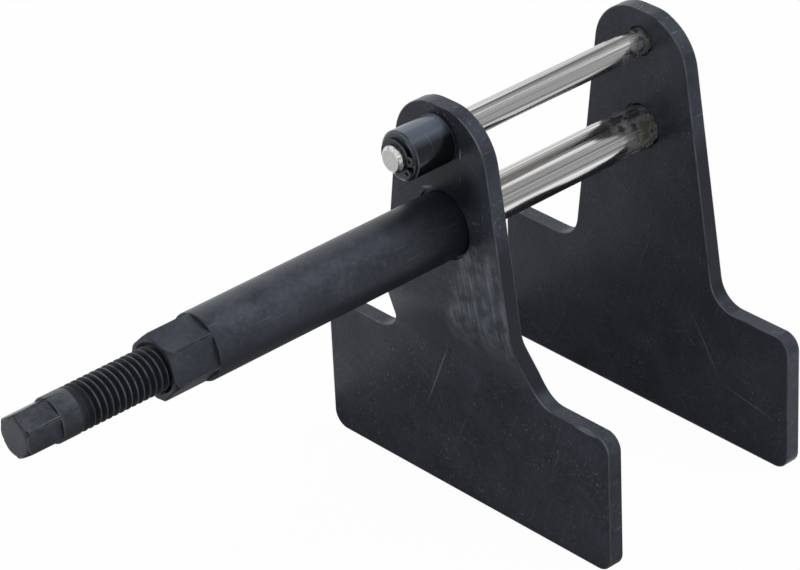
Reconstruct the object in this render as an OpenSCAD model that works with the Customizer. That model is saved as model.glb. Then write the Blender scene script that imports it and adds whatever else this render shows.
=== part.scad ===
/* [Jaw plates] */
// Width of the foot of each jaw
foot_w = 140; // [100:1:200]
// Height of the foot of each jaw
foot_h = 53.5; // [35:0.5:60]
// Thickness of both plates
plate_t = 6; // [4:0.5:10]
// Spindle axis above the surface that the feet stand on
axis_h = 113; // [100:1:140]
// Top of the tongue above the guide rod
tongue_rim = 11.7; // [10:0.1:20]
// Width of the tongue level with the spindle axis
tongue_w = 52; // [44:1:70]
// Widening of each tongue side per millimetre downwards
tongue_taper = 0.14; // [0:0.01:0.2]
// Radius of the two corners on top of the tongue
tongue_r = 19.5; // [4:0.5:30]
// Radius of the inner corners between tongue and foot
inner_r = 10.5; // [3:0.5:20]
// Radius of the outer corners of the foot
foot_r = 6; // [1:0.5:15]
// Distance between the front faces of the two tongues, jaws open
plate_pitch = 95; // [60:1:140]

/* [Crank of the front plate] */
// Set of the front foot towards the rear plate
crank = 7; // [4:0.5:12]
// Slope of the cranked stretch against the plate
crank_angle = 21; // [14:1:35]
// Inside radius of the two bends
crank_r = 18; // [3:0.5:24]
// Start of the upper bend below the spindle axis
crank_drop = 32; // [20:0.5:40]

/* [Spindle] */
// Diameter of the spindle and the push rod, which share the bore of the sleeve
shank_d = 16; // [14.5:0.5:18]
// Width across the flats of the drive hexagon
head_af = 14; // [10:0.5:15]
// Length of the drive hexagon
head_l = 13.8; // [6:0.1:30]
// Length of the plain collar behind the hexagon
collar_l = 10; // [3:0.5:20]
// Thread that stands out of the sleeve, jaws open
thread_out = 32.6; // [10:0.1:60]
// Pitch of the thread
thread_pitch = 2.5; // [1.5:0.25:4]

/* [Sleeve] */
// Outside diameter of the sleeve
sleeve_d = 24; // [22:0.5:32]
// Sleeve length in front of the front plate
sleeve_l = 126.6; // [90:0.1:180]
// Width across the flats of the wrench hexagon
sleeve_af = 21; // [19:0.5:23]
// Length of the wrench hexagon
sleeve_hex_l = 18; // [8:0.5:40]
// Reach of the flange behind the front plate past the sleeve's seat
flange_rim = 2; // [1:0.5:6]
// Thickness of the flange behind the front plate
flange_t = 4; // [2:0.5:6]

/* [Rods] */
// Length of the push rod inside the sleeve, measured from the front face
push_in = 36; // [15:1:60]
// Diameter of the guide rod
guide_d = 10; // [8:0.5:12]
// Guide rod above the spindle axis
guide_rise = 33.3; // [28:0.1:45]
// Guide rod in front of the bush
guide_out = 3.6; // [3:0.1:15]
// Outside diameter of the guide bush
bush_d = 18; // [16:0.5:22]
// Length of the guide bush in front of the plate
bush_l = 18.6; // [8:0.1:30]

/* [Hidden] */
$fn = 96;

// Fits
run_gap = 0.05;
stop_gap = 0.3;
thrust_gap = 0.4;

// Cutters reach past the faces they open by this much
over = 1;

// Small turned features
edge_c = 1;
hex_edge_c = 1.2;
mouth_c = 1.2;
nose_c = 2.5;

// Steps in radius where the sleeve, the bush and the rods seat in their plates
sleeve_step = 1;
bush_shoulder = 2;
rod_shoulder = 1.5;
sleeve_seat_d = sleeve_d + 2 * sleeve_step;
bush_seat_d = bush_d - 2 * bush_shoulder;
guide_seat_d = guide_d - 2 * rod_shoulder;
push_seat_d = shank_d - 2 * rod_shoulder;

// Open rings around the sleeve and both rods in the front faces of the plates
seat_sink = 1;
rod_ring_w = 0.6;

// Profile of the thread by the metric standard, in shares of the pitch
crest_share = 1 / 8;
depth_share = 0.6134;
flank_share = depth_share * tan(30);

// Angles of one hexagon corner, from the +Y side upwards
head_corner_angle = 27;
sleeve_corner_angle = 15;

// Retaining ring for the guide rod, by the common shaft size
ring_t = 1;
ring_groove_w = 1.1;
ring_groove_depth = 0.2;
ring_band_thin = 1.2;
ring_band_thick = 2.2;
ring_lug_r = 1.75;
ring_lug_hole_d = 1.5;
ring_lug_half_angle = 23;
ring_opening_angle = 195;

// Places along the tool, with the middle of its length at x = 0
reach_front = sleeve_l + thread_out + collar_l + head_l;
reach_rear = plate_pitch + plate_t;
front_x = (reach_front - reach_rear) / 2;
rear_x = front_x + plate_pitch;
shoulder_x = rear_x + seat_sink;
mouth_x = front_x - sleeve_l;
collar_x = mouth_x - thread_out - collar_l;
head_x = collar_x - head_l;
push_end_x = front_x - push_in;
bush_end_x = front_x - bush_l;
ring_x = bush_end_x - stop_gap - ring_t;
groove_x = ring_x - (ring_groove_w - ring_t) / 2;
guide_tip_x = bush_end_x - guide_out;
guide_h = axis_h + guide_rise;
top_h = guide_h + tongue_rim;

// The slanted side of the tongue
side_len = sqrt(1 + tongue_taper * tongue_taper);
function half_w(z) = tongue_w / 2 + tongue_taper * (axis_h - z);
function side_out(r) = [r / side_len, r * tongue_taper / side_len];

// The top corners end short of a full half round
full_round_r = half_w(top_h) / (side_len - tongue_taper);
corner_r = min(tongue_r, 0.98 * full_round_r);

// The two bends of the crank, no larger than its set and slope leave room for
largest_bend_r = crank / (2 * (1 - cos(crank_angle))) - plate_t / 2;
bend_r = min(crank_r, 0.98 * largest_bend_r);
bend_mid_r = bend_r + plate_t / 2;
slope_l = (crank - 2 * bend_mid_r * (1 - cos(crank_angle))) / sin(crank_angle);
crank_h = 2 * bend_mid_r * sin(crank_angle) + slope_l * cos(crank_angle);
crank_top = axis_h - crank_drop;
bend_steps = 10;

// Extrudes a Y-Z outline along X
module along_x(x, length) {
    translate([x, 0, 0]) rotate([90, 0, 90]) linear_extrude(length) children();
}

// Round bar along X at a height
module bar(x, z, length, d) {
    translate([x, 0, z]) rotate([0, 90, 0]) cylinder(h = length, d = d);
}

// Cone along X at a height
module taper(x, z, length, d_start, d_end) {
    translate([x, 0, z]) rotate([0, 90, 0]) cylinder(h = length, d1 = d_start, d2 = d_end);
}

// Hexagonal bar along X with one corner at an angle from the +Y side
module hex_bar(x, z, length, flats, turn) {
    translate([x, 0, z]) rotate([turn, 0, 0]) rotate([0, 90, 0]) rotate([0, 0, 90])
        cylinder(h = length, d = flats / cos(30), $fn = 6);
}

// Threaded stretch along X, each turn drawn as a ring of the thread's profile
module threaded_bar(x, z, length, d) {
    turns = floor(length / thread_pitch);
    root_r = d / 2 - depth_share * thread_pitch;
    turn_outline = [
        [d / 2, crest_share / 2], [root_r, crest_share / 2 + flank_share],
        [root_r, 1 - crest_share / 2 - flank_share], [d / 2, 1 - crest_share / 2]
    ];
    translate([x, 0, z]) rotate([0, 90, 0]) rotate_extrude() polygon(concat(
        [[0, 0], [d / 2, 0]],
        [for (i = [0 : turns - 1], p = turn_outline) [p[0], (i + p[1]) * thread_pitch]],
        [[d / 2, length], [0, length]]
    ));
}

// Foot of a jaw with four round corners
module foot_outline() {
    translate([-foot_w / 2 + foot_r, 0]) square([foot_w - 2 * foot_r, foot_h]);
    translate([-foot_w / 2, foot_r]) square([foot_w, foot_h - 2 * foot_r]);
    for (side = [-1, 1], z = [foot_r, foot_h - foot_r])
        translate([side * (foot_w / 2 - foot_r), z]) circle(foot_r);
}

// Tapered tongue with two round corners on top
module tongue_outline() {
    corner_z = top_h - corner_r;
    corner_y = half_w(corner_z) - corner_r * side_len;
    touch = [corner_y, corner_z] + side_out(corner_r);
    low = foot_h / 2;
    polygon([
        [-half_w(low), low], [half_w(low), low], touch,
        [corner_y, top_h], [-corner_y, top_h], [-touch[0], touch[1]]
    ]);
    for (side = [-1, 1]) translate([side * corner_y, corner_z]) circle(corner_r);
}

// Material in the inner corner beside the tongue
module inner_corner() {
    z = foot_h + inner_r;
    y = half_w(z) + inner_r * side_len;
    touch = [y, z] - side_out(inner_r);
    difference() {
        polygon([[0, foot_h / 2], [y, foot_h / 2], [y, foot_h], touch, [0, touch[1]]]);
        translate([y, z]) circle(inner_r);
    }
}

// Outline of both jaw plates, seen along the tool
module jaw_outline() {
    foot_outline();
    tongue_outline();
    for (side = [0, 1]) mirror([side, 0]) inner_corner();
}

// Points of an arc about a centre
function arc(centre, r, from, to) = [
    for (i = [0 : bend_steps]) let (angle = from + (to - from) * i / bend_steps)
        centre + r * [cos(angle), sin(angle)]
];

// Side view of the cranked plate: down its front face and up its back face
module crank_outline() {
    foot_top = crank_top - crank_h;
    upper = [plate_t + bend_r, crank_top];
    lower = [crank - bend_r, foot_top];
    outside_r = bend_r + plate_t;
    polygon(concat(
        [[0, top_h + over]],
        arc(upper, outside_r, 180, 180 + crank_angle),
        arc(lower, bend_r, crank_angle, 0),
        [[crank, -over], [crank + plate_t, -over]],
        arc(lower, outside_r, 0, crank_angle),
        arc(upper, bend_r, 180 + crank_angle, 180),
        [[plate_t, top_h + over]]
    ));
}

// Fixed jaw: plate with a cranked foot, bored for the sleeve and the guide bush
module front_plate() {
    color("#2b2e33") difference() {
        intersection() {
            along_x(front_x, plate_t + crank) jaw_outline();
            translate([front_x, 0, 0]) rotate([90, 0, 0])
                linear_extrude(foot_w + 2 * over, center = true) crank_outline();
        }
        bar(front_x - over, axis_h, plate_t + 2 * over, sleeve_seat_d);
        bar(front_x - over, guide_h, plate_t + 2 * over, bush_seat_d);
    }
}

// Moving jaw: flat plate bored and spot-faced for the seats of both rods
module rear_plate() {
    color("#2b2e33") difference() {
        along_x(rear_x, plate_t) jaw_outline();
        bar(rear_x - over, axis_h, plate_t + 2 * over, push_seat_d);
        bar(rear_x - over, axis_h, seat_sink + over, shank_d + 2 * rod_ring_w);
        bar(rear_x - over, guide_h, plate_t + 2 * over, guide_seat_d);
        bar(rear_x - over, guide_h, seat_sink + over, guide_d + 2 * rod_ring_w);
    }
}

// Long nut of the spindle: wrench hexagon, barrel, seat in the plate, flange behind it, through bore
module sleeve() {
    bore_d = shank_d + 2 * run_gap;
    mouth_d = bore_d + 2 * mouth_c;
    back_x = front_x + plate_t + flange_t;
    flange_d = sleeve_seat_d + 2 * flange_rim;
    color("#24272b") difference() {
        union() {
            intersection() {
                hex_bar(mouth_x, axis_h, sleeve_hex_l + over, sleeve_af, sleeve_corner_angle);
                union() {
                    taper(mouth_x, axis_h, hex_edge_c, sleeve_d - 2 * hex_edge_c, sleeve_d);
                    bar(mouth_x + hex_edge_c, axis_h, sleeve_hex_l, sleeve_d);
                }
            }
            bar(mouth_x + sleeve_hex_l, axis_h, sleeve_l - sleeve_hex_l + seat_sink, sleeve_d);
            bar(front_x + seat_sink, axis_h, plate_t - seat_sink, sleeve_seat_d);
            bar(front_x + plate_t, axis_h, flange_t, flange_d);
        }
        bar(mouth_x - over, axis_h, back_x - mouth_x + 2 * over, bore_d);
        taper(mouth_x, axis_h, mouth_c, mouth_d, bore_d);
    }
}

// Spindle: drive hexagon, collar, threaded shank, bevelled nose
module spindle() {
    nose_x = push_end_x - thrust_gap;
    thread_x = collar_x + collar_l;
    color("#26282c") {
        intersection() {
            hex_bar(head_x, axis_h, head_l + over, head_af, head_corner_angle);
            union() {
                taper(head_x, axis_h, hex_edge_c, shank_d - 2 * hex_edge_c, shank_d);
                bar(head_x + hex_edge_c, axis_h, head_l, shank_d);
            }
        }
        bar(collar_x, axis_h, collar_l, shank_d);
        threaded_bar(thread_x, axis_h, nose_x - nose_c - thread_x, shank_d);
        taper(nose_x - nose_c, axis_h, nose_c, shank_d, shank_d - 2 * nose_c);
    }
}

// Bush for the guide rod: barrel with both edges broken in front of the plate, seat inside it
module guide_bush() {
    edge_d = bush_d - 2 * edge_c;
    color("#121316") difference() {
        union() {
            taper(bush_end_x, guide_h, edge_c, edge_d, bush_d);
            bar(bush_end_x + edge_c, guide_h, bush_l - 2 * edge_c, bush_d);
            taper(front_x - edge_c, guide_h, edge_c, bush_d, edge_d);
            bar(front_x, guide_h, plate_t, bush_seat_d);
        }
        bar(bush_end_x - over, guide_h, bush_l + plate_t + 2 * over, guide_d + 2 * run_gap);
    }
}

// Push rod: slides in the sleeve, shouldered seat in the rear plate
module push_rod() {
    color("#c9cbcd") {
        taper(push_end_x, axis_h, edge_c, shank_d - 2 * edge_c, shank_d);
        bar(push_end_x + edge_c, axis_h, shoulder_x - push_end_x - edge_c, shank_d);
        bar(shoulder_x, axis_h, plate_t - seat_sink, push_seat_d);
    }
}

// Guide rod: slides in the bush, grooved for the retaining ring, seated in the rear plate
module guide_rod() {
    groove_d = guide_d - 2 * ring_groove_depth;
    groove_end_x = groove_x + ring_groove_w;
    color("#c9cbcd") {
        taper(guide_tip_x, guide_h, edge_c, guide_d - 2 * edge_c, guide_d);
        bar(guide_tip_x + edge_c, guide_h, groove_x - guide_tip_x - edge_c, guide_d);
        bar(groove_x, guide_h, ring_groove_w, groove_d);
        bar(groove_end_x, guide_h, shoulder_x - groove_end_x, guide_d);
        bar(shoulder_x, guide_h, plate_t - seat_sink, guide_seat_d);
    }
}

// Retaining ring: band that grows towards its back, two eared ends
module circlip() {
    inside_r = guide_d / 2 - ring_groove_depth;
    shift = (ring_band_thick - ring_band_thin) / 2;
    outside_r = inside_r + (ring_band_thick + ring_band_thin) / 2;
    lug_at = inside_r + ring_lug_r;
    far = 2 * outside_r;
    color("#1b1c1f") along_x(ring_x, ring_t) translate([0, guide_h]) rotate(ring_opening_angle)
        difference() {
            union() {
                difference() {
                    translate([-shift, 0]) circle(outside_r);
                    polygon([
                        [0, 0], [far, far * tan(ring_lug_half_angle)],
                        [far, -far * tan(ring_lug_half_angle)]
                    ]);
                }
                for (side = [-1, 1]) rotate(side * ring_lug_half_angle) translate([lug_at, 0])
                    circle(ring_lug_r);
            }
            circle(inside_r);
            for (side = [-1, 1]) rotate(side * ring_lug_half_angle) translate([lug_at, 0])
                circle(d = ring_lug_hole_d);
        }
}

front_plate();
rear_plate();
sleeve();
spindle();
guide_bush();
push_rod();
guide_rod();
circlip();
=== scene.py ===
"""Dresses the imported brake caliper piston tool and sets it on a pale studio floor."""

import math

import bmesh
import bpy
from bpy.props import FloatProperty, FloatVectorProperty, IntProperty, PointerProperty
from bpy.types import Node, NodeSocket, Operator, Panel, PropertyGroup
from mathutils import Matrix, Vector


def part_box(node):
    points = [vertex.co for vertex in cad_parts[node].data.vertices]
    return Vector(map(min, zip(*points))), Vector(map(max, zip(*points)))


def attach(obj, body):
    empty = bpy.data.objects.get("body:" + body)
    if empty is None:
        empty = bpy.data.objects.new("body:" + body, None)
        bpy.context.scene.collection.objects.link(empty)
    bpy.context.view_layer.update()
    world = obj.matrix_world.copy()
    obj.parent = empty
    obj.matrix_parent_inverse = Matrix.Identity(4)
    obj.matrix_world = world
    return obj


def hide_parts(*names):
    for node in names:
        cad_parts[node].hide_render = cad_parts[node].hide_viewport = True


bl_info = {
    "name": "Brake Caliper Piston Tool",
    "version": (1, 0, 0),
    "blender": (4, 5, 0),
    "location": "View3D > Sidebar > Piston Tool",
    "description": "Blackened jaw plates and sleeve, threaded spindle and chromed rods of a screw spreader",
    "category": "Object",
}

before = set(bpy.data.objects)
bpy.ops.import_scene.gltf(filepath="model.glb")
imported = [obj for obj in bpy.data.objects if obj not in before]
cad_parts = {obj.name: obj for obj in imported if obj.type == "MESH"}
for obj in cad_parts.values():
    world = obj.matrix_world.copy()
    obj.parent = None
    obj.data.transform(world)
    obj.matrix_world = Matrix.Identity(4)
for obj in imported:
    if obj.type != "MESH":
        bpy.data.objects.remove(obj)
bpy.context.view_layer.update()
MM = 0.001

# The sleeve's and the guide rod's axes, read from the frame
SPINDLE_LOW, SPINDLE_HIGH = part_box("spindle")
GUIDE_LOW, GUIDE_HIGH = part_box("guide_rod")
AXIS_Z = (SPINDLE_LOW.z + SPINDLE_HIGH.z) / 2
GUIDE_Z = (GUIDE_LOW.z + GUIDE_HIGH.z) / 2
FRONT_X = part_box("front_plate")[0].x
REAR_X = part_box("rear_plate")[0].x

# Photograph's frame and the camera that was fitted to it
FOCAL_PX = 4056.07
IMAGE_W_PX = 800
SENSOR_MM = 36.0
CAMERA_AT = Vector((-751.98, -878.95, 788.94)) * MM
CAMERA_RIGHT = Vector((0.73404, -0.67783, -0.04165))
CAMERA_UP = Vector((0.37153, 0.34949, 0.86013))

# Lamp and cards stand around the tool at this distance from its axis, at angles from straight up
# towards the camera's side, so far back that the rods mirror them into the camera; two cards lie on the
# floor before and beside the tool as painted shade of the floor, and are seen only in reflections
STAGE_REACH = 1.1
CAMERA_SIDE = 0.69
STRIP_ANGLE = math.radians(22)
ABOVE_ANGLE = math.radians(-9)
BESIDE_ANGLE = math.radians(64)
FLOOR_LIFT = 0.2 * MM
BEFORE_AT, BEFORE_SIZE = (-0.23225, -0.0575, FLOOR_LIFT), (0.7355, 0.285)
BESIDE_AT, BESIDE_SIZE = (0.3, -0.86, FLOOR_LIFT), (1.8, 1.3)
FLOOR_SIZE = 8.0
LAMP_SIZE = (0.6, 1.3)
CARD_L = 3.0
CARD_MOTTLE = 0.4
VIEW_END = 20.0
PAPER, PAPER_GRAIN = "#c4c4c4", "#cccccc"

# Corners of a CAD node nearer than this are one corner, and flatter meetings are one face
WELD = 0.002 * MM
FLAT_ANGLE = math.radians(0.4)
EDGE_ANGLE = math.radians(28)

# Places of a piece's materials: body, rubbed edges, and end faces, which look along the tool more than this
BODY_SLOT, EDGE_SLOT, END_SLOT = 0, 1, 2
END_FACING = 0.99
BEVEL_STEPS = 2
FLAT_WEIGHT = 100

# Drawn thread's diameter below the CAD one, so that it stays inside
THREAD_PLAY = 0.04 * MM

# Middles, half sizes, turns and strengths of the single marks on the front plate: two beside the
# bush, a painted glint on the rim of the sleeve's bore above the sleeve, a long scratch down the foot,
# and the rubbed end of the foot's top edge
FRONT_MARKS_AND_GLINT = (
    ((FRONT_X, -9.8 * MM, 143.3 * MM), (1 * MM, 0.5 * MM, 2.6 * MM), 0.0, 2.0),
    ((FRONT_X, -9.2 * MM, 133.7 * MM), (1 * MM, 0.4 * MM, 1.3 * MM), 0.0, 1.6),
    # Painted glint on the rim of the sleeve's bore
    ((FRONT_X, 7.1 * MM, 124.8 * MM), (1 * MM, 3.4 * MM, 0.65 * MM), -0.38, 2.2),
    ((FRONT_X + 6 * MM, 13.4 * MM, 45.3 * MM), (4 * MM, 0.4 * MM, 21 * MM), 0.4, 1.0),
    ((FRONT_X + 7 * MM, -59 * MM, 53 * MM), (2 * MM, 6 * MM, 0.7 * MM), 0.0, 1.9),
)

# The same for the rear plate: a scratch down its foot that turns outward, drawn as two
REAR_NICKS = (
    ((REAR_X, -30.5 * MM, 35.9 * MM), (1 * MM, 0.3 * MM, 15.5 * MM), -0.555, 0.8),
    ((REAR_X, -51.4 * MM, 21 * MM), (1 * MM, 14 * MM, 0.3 * MM), 0.18, 0.8),
)

# Middle and half sizes of the painted shade, with some oil, on the front plate between the bush and the
# sleeve
SHADE_AND_OIL_AT = (FRONT_X, -5 * MM, 130.5 * MM)
SHADE_AND_OIL_SIZE = (2 * MM, 16 * MM, 13 * MM)

# Other places of painted shade, painted light, stain and wear, each from where it starts to where it is full:
# heights of the painted shade on the tongue's cut sides, painted shade on the lower side of turned steel,
# painted shade on the sleeve towards the plate, the painted highlight on the upper side of the bush, the
# stain on the chrome, and the heights and the slanting side of the crank's patch, partly scuffs and partly
# a painted reflection
EDGE_SHADE_ENDS = ((50 * MM, 60 * MM), (120 * MM, 106 * MM))
LOW_SHADE = (AXIS_Z + 6 * MM, AXIS_Z - 4 * MM)
CORNER_SHADE = (FRONT_X - 45 * MM, FRONT_X)
BUSH_TOP_LIGHT = (GUIDE_Z + 4.5 * MM, GUIDE_Z + 9 * MM)
STAIN = (REAR_X - 20 * MM, REAR_X - 6 * MM)
# Heights and slanting side of the crank's lighter patch, partly scuffs and partly painted reflection
SCUFF_AND_LIGHT_ENDS = ((62 * MM, 78 * MM), (111 * MM, 108 * MM))
SCUFF_AND_LIGHT_SIDE = (21 * MM, 16 * MM)
SCUFF_AND_LIGHT_LEAN = 0.24

# Rims nearer to a bore's axis than this stay black
BORE_REACH = 14 * MM

MATH = "ShaderNodeMath"
NOISE = "ShaderNodeTexNoise"
RANGE = "ShaderNodeMapRange"
MAPPING = "ShaderNodeMapping"
SPLIT = "ShaderNodeSeparateXYZ"
MIX = "ShaderNodeMix"

# The Mix node's inputs for the colour below and the colour over it
BASE, OVER = 6, 7


def linear(hex_colour):
    """Linear RGBA of an sRGB hex colour."""
    parts = [int(hex_colour[i:i + 2], 16) / 255 for i in (1, 3, 5)]
    return tuple(p / 12.92 if p <= 0.04045 else ((p + 0.055) / 1.055) ** 2.4 for p in parts) + (1.0,)


def colour(name, description, hex_colour):
    """A colour that the user can change, given by its sRGB hex value."""
    return FloatVectorProperty(
        name=name, description=description, subtype="COLOR", size=4, min=0, max=1, default=linear(hex_colour))


def length(name, description, default):
    """A length that the user can change, given in metres."""
    return FloatProperty(name=name, description=description, unit="LENGTH", precision=5, default=default)


class SpindleSizes(PropertyGroup):
    """Sizes of the spindle that the frame's box doesn't give."""
    head_l: length("Head", "Length of the drive hexagon", 13.8 * MM)
    collar_l: length("Collar", "Length of the plain collar behind the hexagon", 10 * MM)
    pitch: length("Pitch", "Advance of the thread in one turn", 2.5 * MM)
    depth: length("Depth", "Depth of the thread from crest to root", 1.53 * MM)
    run_out: length("Run-out", "Stretch in which the thread comes up to its depth", 7.5 * MM)
    nose: length("Nose", "Bevel on the hidden end", 2.5 * MM)
    face: length("End face", "Diameter of the flat face of the drive hexagon", 11.8 * MM)
    rows: IntProperty(name="Rows", description="Rows of faces in one turn", default=16)
    around: IntProperty(name="Around", description="Faces around the thread", default=72)


class EdgeSizes(PropertyGroup):
    """Widths of the rubbed edges."""
    plate: length("Plate edges", "Rounding on the edges of both jaw plates", 0.4 * MM)
    turned: length("Turned edges", "Rounding on the edges of the sleeve, head and bush", 0.3 * MM)
    rod: length("Rod edges", "Rounding on the edges of both rods", 0.2 * MM)
    ring: length("Ring edges", "Rounding on the edges of the retaining ring", 0.12 * MM)


class Finishes(PropertyGroup):
    """Colours of the finishes."""
    plate: colour("Plate", "Blackened rolled plate", "#2a2d33")
    plate_cloud: colour("Plate cloud", "Bluish clouds in the blackened plate", "#3f434c")
    rear_cloud: colour("Rear cloud", "Clouds in the rear plate, which is darker", "#3b3f48")
    turned: colour("Turned", "Blackened turned steel", "#22252a")
    turned_cloud: colour("Turned cloud", "Paler clouds in the turned steel", "#444851")
    handled: colour("Handled", "Paler clouds where the head is handled", "#54585e")
    # Also used as painted shade on the lower side of turned steel and on the plates' cut sides
    groove: colour("Groove", "Black in the grooves and where oil stays", "#26282d")
    sheen: colour("Sheen", "Bluish tint of what the oxide mirrors", "#c0c9da")
    bare: colour("Bare steel", "Steel where the black is rubbed off", "#70757c")
    # Also the colour of the painted reflection on the crank and of the painted glint above the sleeve
    dust: colour("Dust", "Dust and fine scratches on the black", "#7d838c")
    # Also used as painted shade between the bush and the sleeve and on the sleeve towards the plate
    bush: colour("Bush", "Polished black of the bush, and of thick oil", "#0e0f11")
    # Painted highlight on the upper side of the bush
    bush_top_light: colour("Bush dust", "Fine dust on the upper side of the bush", "#515863")
    chrome: colour("Chrome", "Ground hard chrome", "#dfdfe0")
    chrome_dull: colour("Dull chrome", "Streaks on the chrome", "#827d76")
    stain: colour("Stain", "Oily stain on the chrome before the rear plate", "#5c5d52")
    ring: colour("Ring", "Phosphated spring steel", "#34363a")


class StageSizes(PropertyGroup):
    """Light and floor."""
    key: FloatProperty(name="Key light", description="Brightness of the lamp above the rear jaw", default=6.0)
    fill: FloatProperty(name="Fill", description="Brightness of the room around the tool", default=0.6)
    strip: FloatProperty(name="Strip", description="Brightness of the pale strip in the chrome", default=0.95)
    above: FloatProperty(name="Above", description="Brightness of the grey card above", default=0.36)
    beside: FloatProperty(name="Beside", description="Brightness of the grey card beside", default=0.45)
    shade: FloatProperty(name="Shade", description="Brightness of the mirrored floor before it", default=0.2)
    floor_glow: FloatProperty(
        name="Floor glow", description="Share of the floor's white that no shadow dims", subtype="FACTOR",
        default=0.98)


def output_of(source):
    """A node's first output that is in use, or a socket or value as it is."""
    if isinstance(source, Node):
        return next(socket for socket in source.outputs if socket.enabled)
    return source


def add(tree, kind, inputs=None, **settings):
    """Adds a node with its settings; an input is a value, a socket, or a node whose output feeds it."""
    node = tree.nodes.new(kind)
    for key, value in settings.items():
        setattr(node, key, value)
    for key, value in (inputs or {}).items():
        source = output_of(value)
        if isinstance(source, NodeSocket):
            tree.links.new(source, node.inputs[key])
        else:
            node.inputs[key].default_value = source
    return node


def new_finish(name):
    """An empty finish: its material, node tree, surface shader and the piece's own coordinates."""
    material = bpy.data.materials.new(name)
    material.use_nodes = True
    tree = material.node_tree
    tree.nodes.clear()
    surface = add(tree, "ShaderNodeBsdfPrincipled")
    add(tree, "ShaderNodeOutputMaterial", {"Surface": surface})
    place = add(tree, "ShaderNodeTexCoord").outputs["Object"]
    return material, tree, surface, place


def feed(tree, surface, **sources):
    """Links nodes to the surface shader's sockets, whose names take spaces for underscores."""
    for name, source in sources.items():
        tree.links.new(output_of(source), surface.inputs[name.replace("_", " ")])


def clouds(tree, place, size, low, high):
    """Soft patches of a size: 0 below a noise level and 1 above another."""
    drift = add(tree, MAPPING, {"Vector": place, "Scale": (size, size, size)}, vector_type="TEXTURE")
    noise = add(tree, NOISE, {"Vector": drift, "Scale": 1.0, "Detail": 3.0})
    return add(tree, RANGE, {"Value": noise, "From Min": low, "From Max": high})


def marks(tree, place, size, turn, low, high):
    """Scratches drawn out to a size along each axis and turned: 0 beside them and 1 on them."""
    drawn = add(tree, MAPPING, {"Vector": place, "Rotation": turn, "Scale": size}, vector_type="TEXTURE")
    noise = add(tree, NOISE, {"Vector": drawn, "Scale": 1.0, "Detail": 1.5, "Distortion": 0.25})
    return add(tree, RANGE, {"Value": noise, "From Min": low, "From Max": high})


def nick(tree, place, centre, size, turn):
    """One mark of a half size along each axis, turned about the tool's length: 1 in it and 0 beside it."""
    inside = add(tree, MAPPING, {
        "Vector": place, "Location": centre, "Rotation": (turn, 0, 0), "Scale": size}, vector_type="TEXTURE")
    reach = add(tree, "ShaderNodeVectorMath", {0: inside}, operation="LENGTH").outputs["Value"]
    return add(tree, RANGE, {"Value": reach, "From Min": 1.0, "From Max": 0.5})


def blackened_plate(finishes, name, paler, extra_marks):
    """Rolled steel plate, hot blackened and oiled: bluish black, half gloss, clouded by the bath, darkened
    by painted shade with some oil between the bush and the sleeve and by painted shade on the cut sides,
    with dust specks and hair scratches, drawn coarser than real ones so that they show, and with the extra
    marks it is given, which on the front plate hold a painted reflection and a painted glint."""
    material, tree, surface, place = new_finish(name)
    cloud = clouds(tree, place, 20 * MM, 0.34, 0.7)
    blotch = clouds(tree, place, 2.5 * MM, 0.2, 0.8)
    cloud = add(tree, MATH, {0: blotch, 1: 0.7, 2: cloud}, operation="MULTIPLY_ADD")
    cloud = add(tree, MATH, {0: cloud, 1: 1.7}, operation="DIVIDE")
    black = add(tree, MIX, {0: cloud, BASE: finishes.plate, OVER: paler}, data_type="RGBA")
    dust = marks(tree, place, (0.9 * MM, 0.9 * MM, 0.9 * MM), (0, 0, 0), 0.62, 0.73)
    patch = clouds(tree, place, 15 * MM, 0.4, 0.6)
    dust = add(tree, MATH, {0: dust, 1: patch}, operation="MULTIPLY")
    hairs = marks(tree, place, (9 * MM, 0.4 * MM, 34 * MM), (0.35, 0, 0), 0.68, 0.85)
    cross = marks(tree, place, (9 * MM, 26 * MM, 0.4 * MM), (0.5, 0, 0), 0.69, 0.86)
    hairs = add(tree, MATH, {0: hairs, 1: cross}, operation="MAXIMUM")
    marked = add(tree, MATH, {0: dust, 1: hairs}, operation="MAXIMUM")
    # On the front plate the extra marks add a painted reflection on the crank and a painted glint above the
    # sleeve, both in the dust colour
    marked = add(tree, MATH, {0: marked, 1: extra_marks(tree, place)}, operation="MAXIMUM")
    share = add(tree, MATH, {0: marked, 1: 0.45}, operation="MULTIPLY")
    black = add(tree, MIX, {0: share, BASE: black, OVER: finishes.dust}, data_type="RGBA")
    # Painted shade, with some oil, between the bush and the sleeve, in the bush's black
    shade_and_oil = add(tree, MATH, {0: nick(tree, place, SHADE_AND_OIL_AT, SHADE_AND_OIL_SIZE, 0.0), 1: 0.75}, operation="MULTIPLY")
    black = add(tree, MIX, {0: shade_and_oil, BASE: black, OVER: finishes.bush}, data_type="RGBA")
    # Painted shade on the cut sides of the tongue, in the groove black
    side_shade = shaded_cut_sides(tree, place)
    tint = add(tree, MIX, {0: side_shade, BASE: black, OVER: finishes.groove}, data_type="RGBA")
    feed(tree, surface, Base_Color=tint)
    grain = clouds(tree, place, 1.2 * MM, 0.3, 0.7)
    gloss = add(tree, RANGE, {"Value": grain, "To Min": 0.27, "To Max": 0.36})
    feed(tree, surface, Roughness=gloss)
    surface.inputs["Specular IOR Level"].default_value = 0.17
    surface.inputs["Specular Tint"].default_value = finishes.sheen
    bump = add(tree, "ShaderNodeBump", {"Height": grain, "Strength": 1.0, "Distance": 0.012 * MM})
    feed(tree, surface, Normal=bump)
    return material


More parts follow.
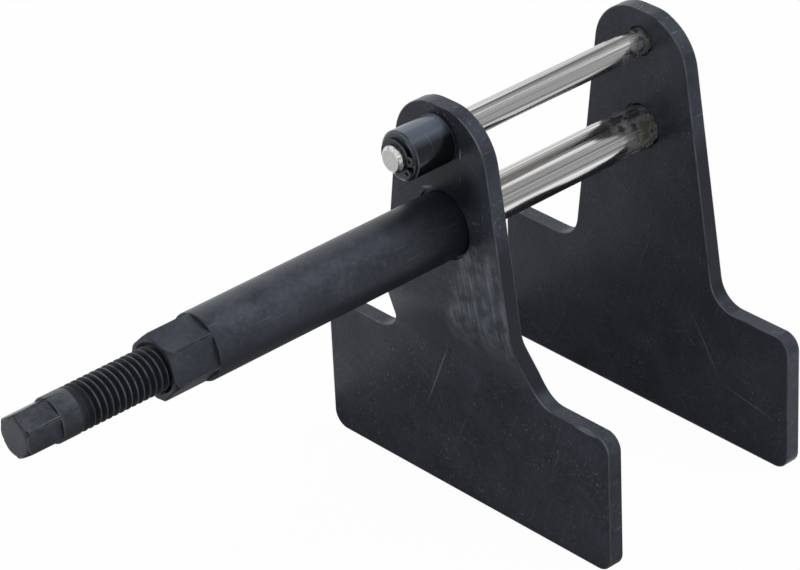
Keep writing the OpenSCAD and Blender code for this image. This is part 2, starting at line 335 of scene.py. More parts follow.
def shaded_cut_sides(tree, place):
    """The cut sides of the tongue below the spindle, where shade is painted: 1 on them and 0 elsewhere."""
    facing_side = add(tree, SPLIT, {0: add(tree, "ShaderNodeTexCoord").outputs["Normal"]})
    across = add(tree, MATH, {0: facing_side.outputs["Y"]}, operation="ABSOLUTE")
    zone = add(tree, RANGE, {"Value": across, "From Min": 0.5, "From Max": 0.8})
    rise = add(tree, SPLIT, {0: place}).outputs["Z"]
    for edge, inside in EDGE_SHADE_ENDS:
        end = add(tree, RANGE, {"Value": rise, "From Min": edge, "From Max": inside},
                  interpolation_type="SMOOTHSTEP")
        zone = add(tree, MATH, {0: zone, 1: end}, operation="MULTIPLY")
    return zone


def crank_scuffs_and_lit_patch(tree, place):
    """A lighter patch below the sleeve with long streaks down the crank: partly scuffs and partly a painted
    reflection of the pale floor.
    """
    streak = marks(tree, place, (30 * MM, 0.9 * MM, 22 * MM), (-0.2, 0, 0), 0.42, 0.7)
    blotch = clouds(tree, place, 5 * MM, 0.32, 0.64)
    streak = add(tree, MATH, {0: streak, 1: 1.4, 2: 0.5}, operation="MULTIPLY_ADD")
    streak = add(tree, MATH, {0: streak, 1: blotch}, operation="MULTIPLY")
    split = add(tree, SPLIT, {0: place})
    lean = add(tree, MATH, {0: split.outputs["Z"], 1: SCUFF_AND_LIGHT_LEAN, 2: split.outputs["Y"]},
               operation="MULTIPLY_ADD")
    zone = add(tree, RANGE, {"Value": lean, "From Min": SCUFF_AND_LIGHT_SIDE[0], "From Max": SCUFF_AND_LIGHT_SIDE[1]},
               interpolation_type="SMOOTHSTEP")
    for edge, inside in SCUFF_AND_LIGHT_ENDS:
        end = add(tree, RANGE, {"Value": split.outputs["Z"], "From Min": edge, "From Max": inside},
                  interpolation_type="SMOOTHSTEP")
        zone = add(tree, MATH, {0: zone, 1: end}, operation="MULTIPLY")
    scuffs = add(tree, MATH, {0: zone, 1: streak}, operation="MULTIPLY")
    return with_nicks(tree, place, scuffs, FRONT_MARKS_AND_GLINT)


def rear_scratches(tree, place):
    """The single scratches of the rear plate."""
    return with_nicks(tree, place, 0.0, REAR_NICKS)


def with_nicks(tree, place, marked, nicks):
    """Wear with single marks added; on the front plate the wear also holds a painted reflection on the crank,
    and one mark is a painted glint above the sleeve.
    """
    for centre, size, turn, strength in nicks:
        mark = nick(tree, place, centre, size, turn)
        mark = add(tree, MATH, {0: mark, 1: strength}, operation="MULTIPLY")
        marked = add(tree, MATH, {0: marked, 1: mark}, operation="MAXIMUM")
    return marked


def blackened_turned(finishes, name, paler):
    """Lathe-turned steel, hot blackened: smoother than the plate, with faint rings from the tool, paler
    clouds, and painted shade on the lower side and towards the plate. The rings are drawn coarser than the
    feed so that they show."""
    material, tree, surface, place = new_finish(name)
    cloud = clouds(tree, place, 14 * MM, 0.3, 0.7)
    blotch = clouds(tree, place, 2 * MM, 0.2, 0.8)
    cloud = add(tree, MATH, {0: blotch, 1: cloud}, operation="ADD")
    cloud = add(tree, MATH, {0: cloud, 1: 0.5}, operation="MULTIPLY")
    black = add(tree, MIX, {0: cloud, BASE: finishes.turned, OVER: paler}, data_type="RGBA")
    split = add(tree, SPLIT, {0: place}).outputs
    # Painted shade on the lower side, in the groove black
    below = add(tree, RANGE, {
        "Value": split["Z"], "From Min": LOW_SHADE[0], "From Max": LOW_SHADE[1], "To Max": 0.9})
    black = add(tree, MIX, {0: below, BASE: black, OVER: finishes.groove}, data_type="RGBA")
    # Painted shade on the sleeve towards the plate, in the bush's black
    corner = add(tree, RANGE, {
        "Value": split["X"], "From Min": CORNER_SHADE[0], "From Max": CORNER_SHADE[1], "To Max": 0.65})
    black = add(tree, MIX, {0: corner, BASE: black, OVER: finishes.bush}, data_type="RGBA")
    hairs = marks(tree, place, (20 * MM, 0.6 * MM, 0.6 * MM), (0, 0, 0), 0.71, 0.8)
    dust = marks(tree, place, (0.7 * MM, 0.7 * MM, 0.7 * MM), (0, 0, 0), 0.7, 0.76)
    marked = add(tree, MATH, {0: dust, 1: hairs}, operation="MAXIMUM")
    share = add(tree, MATH, {0: marked, 1: 0.3}, operation="MULTIPLY")
    tint = add(tree, MIX, {0: share, BASE: black, OVER: finishes.dust}, data_type="RGBA")
    feed(tree, surface, Base_Color=tint)
    rings = marks(tree, place, (0.5 * MM, 60 * MM, 60 * MM), (0, 0, 0), 0.3, 0.7)
    gloss = add(tree, RANGE, {"Value": rings, "To Min": 0.3, "To Max": 0.4})
    feed(tree, surface, Roughness=gloss)
    surface.inputs["Specular IOR Level"].default_value = 0.3
    surface.inputs["Specular Tint"].default_value = finishes.sheen
    bump = add(tree, "ShaderNodeBump", {"Height": rings, "Strength": 1.0, "Distance": 0.008 * MM})
    feed(tree, surface, Normal=bump)
    return material


def rubbed_edge(finishes, name, black, bare_from, bare_to):
    """Edges of blackened steel from handling: grey bare metal that comes and goes along the edge."""
    material, tree, surface, place = new_finish(name)
    rub = clouds(tree, place, 9 * MM, bare_from, bare_to)
    tint = add(tree, MIX, {0: rub, BASE: black, OVER: finishes.bare}, data_type="RGBA")
    feed(tree, surface, Base_Color=tint)
    metal = add(tree, MATH, {0: rub, 1: 0.8}, operation="MULTIPLY")
    feed(tree, surface, Metallic=metal)
    gloss = add(tree, RANGE, {"Value": rub, "To Min": 0.34, "To Max": 0.42})
    feed(tree, surface, Roughness=gloss)
    surface.inputs["Specular IOR Level"].default_value = 0.3
    return material


def rolled_thread_finish(finishes, name):
    """Rolled thread, blackened and oiled: black in the grooves, bright along the rubbed crests."""
    material, tree, surface, place = new_finish(name)
    crest = add(tree, "ShaderNodeAttribute", attribute_name="crest").outputs["Fac"]
    top = add(tree, RANGE, {"Value": crest, "From Min": 0.86, "From Max": 1.0})
    rub = clouds(tree, place, 3 * MM, 0.25, 0.6)
    bare = add(tree, MATH, {0: top, 1: rub}, operation="MULTIPLY")
    bare = add(tree, MATH, {0: bare, 1: 0.7}, operation="MULTIPLY")
    groove = add(tree, "ShaderNodeAttribute", attribute_name="groove").outputs["Fac"]
    groove = add(tree, MATH, {0: groove, 1: 0.5}, operation="POWER")
    black = add(tree, MIX, {0: groove, BASE: finishes.turned, OVER: finishes.groove}, data_type="RGBA")
    tint = add(tree, MIX, {0: bare, BASE: black, OVER: finishes.bare}, data_type="RGBA")
    feed(tree, surface, Base_Color=tint)
    feed(tree, surface, Metallic=bare)
    surface.inputs["Roughness"].default_value = 0.36
    surface.inputs["Specular IOR Level"].default_value = 0.17
    return material


def polished_black(finishes, name):
    """Turned bush, polished and blackened: gloss black with a bluish sheen, painted paler above as a
    highlight, and with a few hair scratches around it."""
    material, tree, surface, place = new_finish(name)
    hairs = marks(tree, place, (0.45 * MM, 14 * MM, 14 * MM), (0, 0, 0), 0.7, 0.8)
    share = add(tree, MATH, {0: hairs, 1: 0.5}, operation="MULTIPLY")
    # Painted highlight: the upper side is paler
    rise = add(tree, SPLIT, {0: place}).outputs["Z"]
    upper = add(tree, RANGE, {"Value": rise, "From Min": BUSH_TOP_LIGHT[0], "From Max": BUSH_TOP_LIGHT[1]})
    black = add(tree, MIX, {0: upper, BASE: finishes.bush, OVER: finishes.bush_top_light}, data_type="RGBA")
    tint = add(tree, MIX, {0: share, BASE: black, OVER: finishes.dust}, data_type="RGBA")
    feed(tree, surface, Base_Color=tint)
    smear = clouds(tree, place, 6 * MM, 0.3, 0.7)
    gloss = add(tree, RANGE, {"Value": smear, "To Min": 0.12, "To Max": 0.2})
    feed(tree, surface, Roughness=gloss)
    surface.inputs["Specular IOR Level"].default_value = 0.7
    surface.inputs["Specular Tint"].default_value = finishes.sheen
    return material


def ground_chrome(finishes, name):
    """Hard chrome, ground along the rod: a mirror drawn out into fine streaks, stained at the rear plate.
    The streaks are drawn coarser than the grinding marks so that they show."""
    material, tree, surface, place = new_finish(name)
    streak = marks(tree, place, (160 * MM, 0.9 * MM, 0.9 * MM), (0, 0, 0), 0.4, 0.62)
    along = add(tree, SPLIT, {0: place}).outputs["X"]
    seat = add(tree, RANGE, {"Value": along, "From Min": STAIN[0], "From Max": STAIN[1]})
    stain = clouds(tree, place, 5 * MM, 0.42, 0.62)
    stain = add(tree, MATH, {0: stain, 1: seat}, operation="MULTIPLY")
    dull = add(tree, MATH, {0: streak, 1: 0.7}, operation="MULTIPLY")
    bright = add(tree, MIX, {0: dull, BASE: finishes.chrome, OVER: finishes.chrome_dull}, data_type="RGBA")
    tint = add(tree, MIX, {0: stain, BASE: bright, OVER: finishes.stain}, data_type="RGBA")
    feed(tree, surface, Base_Color=tint)
    metal = add(tree, RANGE, {"Value": stain, "To Min": 1.0, "To Max": 0.25})
    feed(tree, surface, Metallic=metal)
    dull = add(tree, MATH, {0: dull, 1: stain}, operation="MAXIMUM")
    gloss = add(tree, RANGE, {"Value": dull, "To Min": 0.09, "To Max": 0.26})
    feed(tree, surface, Roughness=gloss)
    bump = add(tree, "ShaderNodeBump", {"Height": streak, "Strength": 1.0, "Distance": 0.02 * MM})
    feed(tree, surface, Normal=bump)
    return material


def faced_chrome(finishes, name, axis_z):
    """End faces of a rod as the lathe left them: satin steel in fine rings about the rod's axis."""
    material, tree, surface, place = new_finish(name)
    split = add(tree, SPLIT, {0: place})
    rise = add(tree, MATH, {0: split.outputs["Z"], 1: axis_z}, operation="SUBTRACT")
    flat = add(tree, "ShaderNodeCombineXYZ", {"Y": split.outputs["Y"], "Z": rise})
    radius = add(tree, "ShaderNodeVectorMath", {0: flat}, operation="LENGTH").outputs["Value"]
    turns = add(tree, MATH, {0: radius, 1: 0.3 * MM}, operation="DIVIDE")
    rings = add(tree, NOISE, {"W": turns, "Scale": 1.0, "Detail": 1.0}, noise_dimensions="1D")
    tint = add(tree, MIX, {0: rings, BASE: finishes.chrome, OVER: finishes.chrome_dull}, data_type="RGBA")
    feed(tree, surface, Base_Color=tint)
    surface.inputs["Metallic"].default_value = 1.0
    surface.inputs["Roughness"].default_value = 0.38
    bump = add(tree, "ShaderNodeBump", {"Height": rings, "Strength": 1.0, "Distance": 0.01 * MM})
    feed(tree, surface, Normal=bump)
    return material


def phosphated_spring(finishes, name):
    """Stamped spring steel, phosphated: dull dark grey with a fine even grain."""
    material, tree, surface, place = new_finish(name)
    grain = clouds(tree, place, 0.7 * MM, 0.3, 0.7)
    tint = add(tree, MIX, {0: grain, BASE: finishes.ring, OVER: finishes.plate}, data_type="RGBA")
    feed(tree, surface, Base_Color=tint)
    surface.inputs["Metallic"].default_value = 0.6
    gloss = add(tree, RANGE, {"Value": grain, "To Min": 0.3, "To Max": 0.45})
    feed(tree, surface, Roughness=gloss)
    return material


def node_copy(node):
    """A copy of a CAD node with its corners joined and its flat faces whole."""
    shell = bmesh.new()
    shell.from_mesh(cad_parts[node].data)
    bmesh.ops.remove_doubles(shell, verts=shell.verts, dist=WELD)
    bmesh.ops.dissolve_limit(
        shell, angle_limit=FLAT_ANGLE, verts=shell.verts, edges=shell.edges, use_dissolve_boundaries=False)
    return shell


def as_piece(name, shell, materials):
    """An object in the scene from a bmesh, with smooth faces; a third material goes to its end faces."""
    mesh = bpy.data.meshes.new(name)
    for face in shell.faces:
        face.smooth = True
        at_end = len(materials) > END_SLOT and abs(face.normal.x) > END_FACING
        face.material_index = END_SLOT if at_end else BODY_SLOT
    for edge in shell.edges:
        edge.smooth = not edge.is_manifold or edge.calc_face_angle() < EDGE_ANGLE
    shell.to_mesh(mesh)
    shell.free()
    for material in materials:
        mesh.materials.append(material)
    piece = bpy.data.objects.new(name, mesh)
    bpy.context.scene.collection.objects.link(piece)
    return piece


def settle(piece):
    """Turns what the piece's modifiers make into its plain mesh."""
    graph = bpy.context.evaluated_depsgraph_get()
    mesh = bpy.data.meshes.new_from_object(piece.evaluated_get(graph))
    old = piece.data
    piece.modifiers.clear()
    piece.data = mesh
    bpy.data.meshes.remove(old)
    mesh.name = piece.name


def open_edge(place):
    """True away from the bores of the plates, whose rims no hand rubs."""
    return min(math.hypot(place.y, place.z - AXIS_Z), math.hypot(place.y, place.z - GUIDE_Z)) > BORE_REACH


def mark_edges(shell, rubbed):
    """Marks the sharp outer edges whose middles a test lets through, for rounding."""
    weight = shell.edges.layers.float.new("bevel_weight_edge")
    for edge in shell.edges:
        sharp = edge.is_manifold and edge.is_convex and edge.calc_face_angle() > EDGE_ANGLE
        if sharp and rubbed((edge.verts[0].co + edge.verts[1].co) / 2):
            edge[weight] = 1.0


def round_edges(piece, width):
    """Rounds a piece's marked edges, gives the roundings its second material, and keeps its flats flat."""
    bevel = piece.modifiers.new("rubbed edges", "BEVEL")
    bevel.width = width
    bevel.segments = BEVEL_STEPS
    bevel.limit_method = "WEIGHT"
    bevel.use_clamp_overlap = False
    bevel.loop_slide = False
    bevel.material = EDGE_SLOT
    flats = piece.modifiers.new("flat faces", "WEIGHTED_NORMAL")
    flats.weight = FLAT_WEIGHT
    flats.keep_sharp = True
    settle(piece)


def put_on(piece, body, node):
    """Fastens a finished piece to its body in place of its CAD node."""
    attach(piece, body)
    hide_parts(node)


def dressed(name, node, body, width, materials, rubbed=lambda place: True):
    """A CAD node's own shape with rubbed edges, in place of the node."""
    shell = node_copy(node)
    mark_edges(shell, rubbed)
    piece = as_piece(name, shell, materials)
    round_edges(piece, width)
    put_on(piece, body, node)
    return piece


def thread_tree():
    """Skin of a right-hand thread: a grid whose rows follow the helix, closed at both ends."""
    tree = bpy.data.node_groups.new("rolled_thread", "GeometryNodeTree")
    tree.is_modifier = True
    sizes = ("Major Diameter", "Pitch", "Depth", "Start", "End", "Run-Out", "Nose", "Axis Height")
    for name in sizes:
        tree.interface.new_socket(name, in_out="INPUT", socket_type="NodeSocketFloat")
    for name in ("Rows per Turn", "Faces Around"):
        tree.interface.new_socket(name, in_out="INPUT", socket_type="NodeSocketInt")
    tree.interface.new_socket("Material", in_out="INPUT", socket_type="NodeSocketMaterial")
    tree.interface.new_socket("Geometry", in_out="OUTPUT", socket_type="NodeSocketGeometry")
    given = add(tree, "NodeGroupInput").outputs

    # One turn of rows more than the length needs, and two rows that close the ends
    span = add(tree, MATH, {0: given["End"], 1: given["Start"]}, operation="SUBTRACT")
    turns = add(tree, MATH, {0: span, 1: given["Pitch"]}, operation="DIVIDE")
    rows = add(tree, MATH, {0: turns, 1: given["Rows per Turn"]}, operation="MULTIPLY")
    rows = add(tree, MATH, {0: rows}, operation="CEIL")
    rows = add(tree, MATH, {0: rows, 1: given["Rows per Turn"]}, operation="ADD")
    rows = add(tree, MATH, {0: rows, 1: 3.0}, operation="ADD")
    columns = add(tree, MATH, {0: given["Faces Around"], 1: 1.0}, operation="ADD")
    grid = add(tree, "GeometryNodeMeshGrid", {
        "Size X": 1.0, "Size Y": 1.0, "Vertices X": rows, "Vertices Y": columns})
    flat = add(tree, SPLIT, {0: add(tree, "GeometryNodeInputPosition")})
    along = add(tree, MATH, {0: flat.outputs["X"], 1: 0.5}, operation="ADD")
    around = add(tree, MATH, {0: flat.outputs["Y"], 1: 0.5}, operation="ADD")
    last = add(tree, MATH, {0: rows, 1: 1.0}, operation="SUBTRACT")
    row = add(tree, MATH, {0: along, 1: last}, operation="MULTIPLY")
    row = add(tree, MATH, {0: row}, operation="ROUND")

    # Place along the axis, held between both ends
    row_turns = add(tree, MATH, {0: row, 1: given["Rows per Turn"]}, operation="DIVIDE")
    lead = add(tree, MATH, {0: 1.0, 1: given["Rows per Turn"]}, operation="DIVIDE")
    lead = add(tree, MATH, {0: lead, 1: 1.0}, operation="ADD")
    advance = add(tree, MATH, {0: row_turns, 1: around}, operation="ADD")
    advance = add(tree, MATH, {0: advance, 1: lead}, operation="SUBTRACT")
    x = add(tree, MATH, {0: advance, 1: given["Pitch"], 2: given["Start"]}, operation="MULTIPLY_ADD")
    x = add(tree, MATH, {0: x, 1: given["Start"]}, operation="MAXIMUM")
    x = add(tree, MATH, {0: x, 1: given["End"]}, operation="MINIMUM")

    # Metric profile: crest an eighth of the pitch wide, root a sixth of it
    phase = add(tree, MATH, {0: row_turns}, operation="FRACT")
    phase = add(tree, MATH, {0: phase, 1: 0.5}, operation="SUBTRACT")
    phase = add(tree, MATH, {0: phase}, operation="ABSOLUTE")
    height = add(tree, RANGE, {"Value": phase, "From Min": 1 / 12, "From Max": 7 / 16})
    past = add(tree, MATH, {0: x, 1: given["Start"]}, operation="SUBTRACT")
    cut = add(tree, RANGE, {"Value": past, "From Max": given["Run-Out"]}, interpolation_type="SMOOTHSTEP")
    gap = add(tree, MATH, {0: 1.0, 1: height}, operation="SUBTRACT")
    gap = add(tree, MATH, {0: gap, 1: given["Depth"]}, operation="MULTIPLY")
    gap = add(tree, MATH, {0: gap, 1: cut}, operation="MULTIPLY")
    outside = add(tree, MATH, {0: given["Major Diameter"], 1: 0.5}, operation="MULTIPLY")
    radius = add(tree, MATH, {0: outside, 1: gap}, operation="SUBTRACT")

    # Bevelled nose, and both ends drawn in to the axis
    to_end = add(tree, MATH, {0: given["End"], 1: x}, operation="SUBTRACT")
    nose = add(tree, MATH, {0: outside, 1: given["Nose"]}, operation="SUBTRACT")
    nose = add(tree, MATH, {0: nose, 1: to_end}, operation="ADD")
    radius = add(tree, MATH, {0: radius, 1: nose}, operation="MINIMUM")
    first_shut = add(tree, MATH, {0: row, 1: 0.5}, operation="GREATER_THAN")
    before_last = add(tree, MATH, {0: last, 1: 0.5}, operation="SUBTRACT")
    last_shut = add(tree, MATH, {0: row, 1: before_last}, operation="LESS_THAN")
    radius = add(tree, MATH, {0: radius, 1: first_shut}, operation="MULTIPLY")
    radius = add(tree, MATH, {0: radius, 1: last_shut}, operation="MULTIPLY")

    angle = add(tree, MATH, {0: around, 1: math.tau}, operation="MULTIPLY")
    cosine = add(tree, MATH, {0: angle}, operation="COSINE")
    sine = add(tree, MATH, {0: angle}, operation="SINE")
    y = add(tree, MATH, {0: radius, 1: cosine}, operation="MULTIPLY")
    z = add(tree, MATH, {0: radius, 1: sine, 2: given["Axis Height"]}, operation="MULTIPLY_ADD")
    place = add(tree, "ShaderNodeCombineXYZ", {"X": x, "Y": y, "Z": z})
    crest = add(tree, MATH, {0: height, 1: cut}, operation="MULTIPLY")
    groove = add(tree, MATH, {0: gap, 1: given["Depth"]}, operation="DIVIDE")
    skin = add(tree, "GeometryNodeStoreNamedAttribute", {"Geometry": grid, "Name": "crest", "Value": crest})
    skin = add(tree, "GeometryNodeStoreNamedAttribute", {"Geometry": skin, "Name": "groove", "Value": groove})
    skin = add(tree, "GeometryNodeSetPosition", {"Geometry": skin, "Position": place})
    skin = add(tree, "GeometryNodeMergeByDistance", {"Geometry": skin, "Distance": WELD})
    skin = add(tree, "GeometryNodeFlipFaces", {"Mesh": skin})
    skin = add(tree, "GeometryNodeSetShadeSmooth", {0: skin})
    skin = add(tree, "GeometryNodeRealizeInstances", {"Geometry": skin})
    skin = add(tree, "GeometryNodeSetMaterial", {"Geometry": skin, "Material": given["Material"]})
    add(tree, "NodeGroupOutput", {"Geometry": skin})
    return tree


class PISTON_TOOL_OT_jaw_plates(Operator):
    """Both T plates with rubbed edges; the front one is scuffed down its crank, with a painted reflection
    there
    """
    bl_idname = "piston_tool.jaw_plates"
    bl_label = "Jaw Plates"

    def execute(self, context):
        finishes, edges = context.scene.piston_finishes, context.scene.piston_edges
        edge = rubbed_edge(finishes, "steel_plate_edge_rubbed", finishes.plate, 0.2, 0.85)
        front = blackened_plate(finishes, "steel_plate_blackened_pressed", finishes.plate_cloud, crank_scuffs_and_lit_patch)
        rear = blackened_plate(finishes, "steel_plate_blackened_rolled", finishes.rear_cloud, rear_scratches)
        dressed("front_jaw_plate", "front_plate", "front_jaw", edges.plate,
                (front, edge), open_edge)
        dressed("rear_jaw_plate", "rear_plate", "rear_jaw", edges.plate,
                (rear, edge), open_edge)
        return {"FINISHED"}


class PISTON_TOOL_OT_sleeve(Operator):
    """Long sleeve with its wrench hexagon"""
    bl_idname = "piston_tool.sleeve"
    bl_label = "Sleeve"

    def execute(self, context):
        finishes, edges = context.scene.piston_finishes, context.scene.piston_edges
        black = blackened_turned(finishes, "steel_sleeve_turned_blackened", finishes.turned_cloud)
        edge = rubbed_edge(finishes, "steel_sleeve_edge_rubbed", finishes.turned, 0.46, 0.8)
        dressed("spindle_sleeve", "sleeve", "front_jaw", edges.turned, (black, edge),
                lambda place: place.x < FRONT_X - MM)
        return {"FINISHED"}


class PISTON_TOOL_OT_spindle(Operator):
    """Drive hexagon and collar from the frame, and a rolled thread on the shank"""
    bl_idname = "piston_tool.spindle"
    bl_label = "Spindle"

    def execute(self, context):
        finishes, edges = context.scene.piston_finishes, context.scene.piston_edges
        sizes = context.scene.piston_spindle
        thread_x = SPINDLE_LOW.x + sizes.head_l + sizes.collar_l - sizes.run_out / 2
        black = blackened_turned(finishes, "steel_head_turned_blackened", finishes.handled)
        edge = rubbed_edge(finishes, "steel_head_edge_rubbed", finishes.turned, 0.4, 0.75)
        shell = node_copy("spindle")
        cut = bmesh.ops.bisect_plane(
            shell, geom=shell.verts[:] + shell.edges[:] + shell.faces[:],
            plane_co=(thread_x + sizes.pitch / 2, 0, 0), plane_no=(1, 0, 0), clear_outer=True)
        rim = [part for part in cut["geom_cut"] if isinstance(part, bmesh.types.BMEdge)]
        bmesh.ops.contextual_create(shell, geom=rim)
        end = [corner for corner in shell.verts if corner.co.x < SPINDLE_LOW.x + WELD]
        reach = max(math.hypot(corner.co.y, corner.co.z - AXIS_Z) for corner in end)
        axis = Matrix.Translation((0, 0, -AXIS_Z))
        shrink = sizes.face / 2 / reach
        bmesh.ops.scale(shell, vec=(1, shrink, shrink), space=axis, verts=end)
        mark_edges(shell, lambda place: place.x < thread_x)
        head = as_piece("spindle_head", shell, (black, edge))
        round_edges(head, edges.turned)
        put_on(head, "spindle", "spindle")

        thread = as_piece("spindle_thread", bmesh.new(), ())
        tree = thread_tree()
        values = {
            "Major Diameter": SPINDLE_HIGH.z - SPINDLE_LOW.z - THREAD_PLAY, "Pitch": sizes.pitch,
            "Depth": sizes.depth, "Start": thread_x, "End": SPINDLE_HIGH.x, "Run-Out": sizes.run_out,
            "Nose": sizes.nose, "Axis Height": AXIS_Z, "Rows per Turn": sizes.rows,
            "Faces Around": sizes.around,
            "Material": rolled_thread_finish(finishes, "steel_thread_rolled_blackened")}
        skin = thread.modifiers.new("rolled thread", "NODES")
        skin.node_group = tree
        for socket in tree.interface.items_tree:
            if socket.in_out == "INPUT":
                skin[socket.identifier] = values[socket.name]
        settle(thread)
        if not thread.data.polygons:
            raise RuntimeError("the thread came out empty")
        put_on(thread, "spindle", "spindle")
        return {"FINISHED"}


class PISTON_TOOL_OT_guide_bush(Operator):
    """Polished bush of the guide rod"""
    bl_idname = "piston_tool.guide_bush"
    bl_label = "Guide Bush"

    def execute(self, context):
        finishes, edges = context.scene.piston_finishes, context.scene.piston_edges
        black = polished_black(finishes, "steel_bush_polished_black")
        edge = rubbed_edge(finishes, "steel_bush_edge_rubbed", finishes.bush, 0.35, 0.6)
        dressed("guide_rod_bush", "guide_bush", "front_jaw", edges.turned, (black, edge))
        return {"FINISHED"}


class PISTON_TOOL_OT_rods(Operator):
    """Chromed push rod and guide rod"""
    bl_idname = "piston_tool.rods"
    bl_label = "Rods"

    def execute(self, context):
        finishes, edges = context.scene.piston_finishes, context.scene.piston_edges
        chrome = ground_chrome(finishes, "hard_chrome_ground")
        for node, axis_z in (("push_rod", AXIS_Z), ("guide_rod", GUIDE_Z)):
            face = faced_chrome(finishes, "steel_" + node + "_end_faced", axis_z)
            dressed("chromed_" + node, node, "rear_jaw", edges.rod, (chrome, chrome, face))
        return {"FINISHED"}


class PISTON_TOOL_OT_circlip(Operator):
    """Retaining ring on the guide rod"""
    bl_idname = "piston_tool.circlip"
    bl_label = "Circlip"

    def execute(self, context):
        finishes, edges = context.scene.piston_finishes, context.scene.piston_edges
        grey = phosphated_spring(finishes, "spring_steel_phosphated")
        edge = rubbed_edge(finishes, "spring_steel_edge_rubbed", finishes.ring, 0.3, 0.6)
        dressed("retaining_ring", "circlip", "rear_jaw", edges.ring, (grey, edge))
        return {"FINISHED"}


def background_ray(tree):
    """1 for the rays that see the background: from the camera, in reflections and through glass."""
    ray = add(tree, "ShaderNodeLightPath").outputs
    seen = add(tree, MATH, {0: ray["Is Camera Ray"], 1: ray["Is Glossy Ray"]}, operation="MAXIMUM")
    return add(tree, MATH, {0: seen, 1: ray["Is Transmission Ray"]}, operation="MAXIMUM")


def white_paper(glow):
    """Matt white studio paper: even white that keeps a faint shadow."""
    material, tree, surface, place = new_finish("studio_paper_white")
    output = surface.outputs["BSDF"].links[0].to_node
    grain = clouds(tree, place, 3 * MM, 0.0, 1.0)
    tint = add(tree, MIX, {0: grain, BASE: linear(PAPER), OVER: linear(PAPER_GRAIN)}, data_type="RGBA")
    feed(tree, surface, Base_Color=tint)
    surface.inputs["Roughness"].default_value = 1.0
    surface.inputs["Specular IOR Level"].default_value = 0.0
    white = add(tree, "ShaderNodeEmission", {"Color": (1, 1, 1, 1), "Strength": 1.0})
    share = add(tree, MATH, {0: background_ray(tree), 1: glow}, operation="MULTIPLY")
    paper = add(tree, "ShaderNodeMixShader", {0: share, 1: surface.outputs["BSDF"], 2: white})
    tree.links.new(paper.outputs[0], output.inputs["Surface"])
    return material


def grey_card(name, grey):
    """Even grey card of the studio, which only reflections see."""
    material, tree, surface, place = new_finish(name)
    mottle = clouds(tree, place, 200 * MM, 0.0, 1.0)
    level = add(tree, RANGE, {
        "Value": mottle, "To Min": (1 - CARD_MOTTLE) * grey, "To Max": (1 + CARD_MOTTLE) * grey})
    feed(tree, surface, Emission_Strength=level)
    surface.inputs["Base Color"].default_value = (0, 0, 0, 1)
    surface.inputs["Emission Color"].default_value = (1, 1, 1, 1)
    surface.inputs["Specular IOR Level"].default_value = 0.0
    return material


def around_tool(middle, angle):
    """A place that a bar along the tool mirrors into the camera, at an angle about it from straight up."""
    return middle + STAGE_REACH * Vector((CAMERA_SIDE, -math.sin(angle), math.cos(angle)))


def facing(at, target):
    """Placement of a lamp or card at a point, with its -Z side towards a target."""
    return Matrix.Translation(at) @ (target - at).to_track_quat("-Z", "Y").to_matrix().to_4x4()


def sheet_of(name, width, depth, placement, material):
    """A flat sheet of the stage, its place in its mesh."""
    shell = bmesh.new()
    bmesh.ops.create_grid(shell, x_segments=1, y_segments=1, size=0.5)
    shell.transform(placement @ Matrix.Diagonal((width, depth, 1, 1)))
    sheet = as_piece(name, shell, (material,))
    return sheet


def soft_lamp(name, at, target, width, depth, radiance):
    """A rectangular soft box of an even brightness, whose mirror image a card gives."""
    lamp = bpy.data.lights.new(name, "AREA")
    lamp.shape = "RECTANGLE"
    lamp.size, lamp.size_y = width, depth
    lamp.energy = radiance * math.pi * width * depth
    box = bpy.data.objects.new(name, lamp)
    box.matrix_world = facing(at, target)
    box.visible_glossy = False
    bpy.context.scene.collection.objects.link(box)
    return box


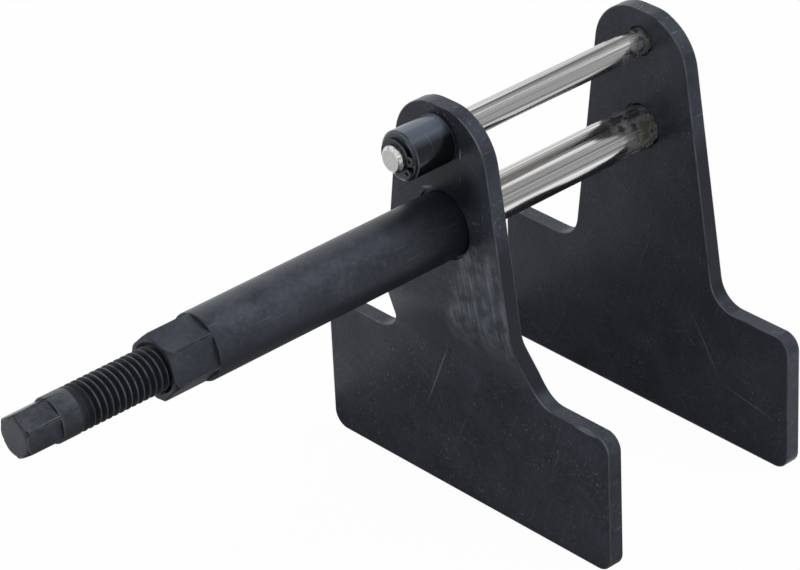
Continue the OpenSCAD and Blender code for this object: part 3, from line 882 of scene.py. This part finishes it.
class PISTON_TOOL_OT_stage(Operator):
    """White paper floor, a soft box, grey cards for the chrome to mirror, and the camera"""
    bl_idname = "piston_tool.stage"
    bl_label = "Stage"

    def execute(self, context):
        scene, stage = context.scene, context.scene.piston_stage
        scene.view_settings.view_transform = "Standard"
        middle = Vector((FRONT_X, 0, AXIS_Z / 2))
        sheet_of("paper_floor", FLOOR_SIZE, FLOOR_SIZE, Matrix.Identity(4), white_paper(stage.floor_glow))
        soft_lamp("key_box", around_tool(middle, STRIP_ANGLE), middle, *LAMP_SIZE, stage.key)
        for name, place, width, depth, grey in (
                ("card_strip", facing(around_tool(middle, STRIP_ANGLE), middle), 0.31, CARD_L, stage.strip),
                ("card_above", facing(around_tool(middle, ABOVE_ANGLE), middle), 0.89, CARD_L, stage.above),
                ("card_beside", facing(around_tool(middle, BESIDE_ANGLE), middle), 1.48, CARD_L,
                 stage.beside),
                ("shade_before", Matrix.Translation(BEFORE_AT), *BEFORE_SIZE, stage.shade),
                ("shade_beside", Matrix.Translation(BESIDE_AT), *BESIDE_SIZE, stage.beside)):
            card = sheet_of(name, width, depth, place, grey_card(name + "_grey", grey))
            card.visible_camera = card.visible_diffuse = card.visible_shadow = False

        world = bpy.data.worlds.new("pale_room")
        world.use_nodes = True
        tree = world.node_tree
        tree.nodes.clear()
        seen = background_ray(tree)
        level = add(tree, RANGE, {"Value": seen, "To Min": stage.fill, "To Max": 1.0})
        room = add(tree, "ShaderNodeBackground", {"Color": (1, 1, 1, 1), "Strength": level})
        add(tree, "ShaderNodeOutputWorld", {"Surface": room})
        scene.world = world

        camera = bpy.data.cameras.new("photograph_view")
        camera.sensor_fit = "HORIZONTAL"
        camera.sensor_width = SENSOR_MM
        camera.lens = FOCAL_PX * SENSOR_MM / IMAGE_W_PX
        camera.clip_end = VIEW_END
        view = bpy.data.objects.new("photograph_view", camera)
        back = CAMERA_RIGHT.cross(CAMERA_UP)
        turn = Matrix((CAMERA_RIGHT, CAMERA_UP, back)).transposed()
        view.matrix_world = Matrix.Translation(CAMERA_AT) @ turn.to_4x4()
        scene.collection.objects.link(view)
        scene.camera = view
        return {"FINISHED"}


OPERATORS = (
    PISTON_TOOL_OT_jaw_plates, PISTON_TOOL_OT_sleeve, PISTON_TOOL_OT_spindle, PISTON_TOOL_OT_guide_bush,
    PISTON_TOOL_OT_rods, PISTON_TOOL_OT_circlip, PISTON_TOOL_OT_stage,
)
SETTINGS = {
    "piston_spindle": SpindleSizes, "piston_edges": EdgeSizes, "piston_finishes": Finishes,
    "piston_stage": StageSizes,
}


class PISTON_TOOL_PT_pieces(Panel):
    """Lists the tool's pieces and the stage"""
    bl_idname = "PISTON_TOOL_PT_pieces"
    bl_label = "Piston Tool"
    bl_space_type = "VIEW_3D"
    bl_region_type = "UI"
    bl_category = "Piston Tool"

    def draw(self, context):
        for operator in OPERATORS:
            self.layout.operator(operator.bl_idname)


def register():
    for settings in SETTINGS.values():
        bpy.utils.register_class(settings)
    for name, settings in SETTINGS.items():
        setattr(bpy.types.Scene, name, PointerProperty(type=settings))
    for part in OPERATORS + (PISTON_TOOL_PT_pieces,):
        bpy.utils.register_class(part)


def unregister():
    for part in reversed(OPERATORS + (PISTON_TOOL_PT_pieces,)):
        bpy.utils.unregister_class(part)
    for name, settings in SETTINGS.items():
        delattr(bpy.types.Scene, name)
        bpy.utils.unregister_class(settings)


def main():
    register()
    bpy.ops.piston_tool.jaw_plates()
    bpy.ops.piston_tool.sleeve()
    bpy.ops.piston_tool.spindle()
    bpy.ops.piston_tool.guide_bush()
    bpy.ops.piston_tool.rods()
    bpy.ops.piston_tool.circlip()
    bpy.ops.piston_tool.stage()


if __name__ == "__main__":
    main()
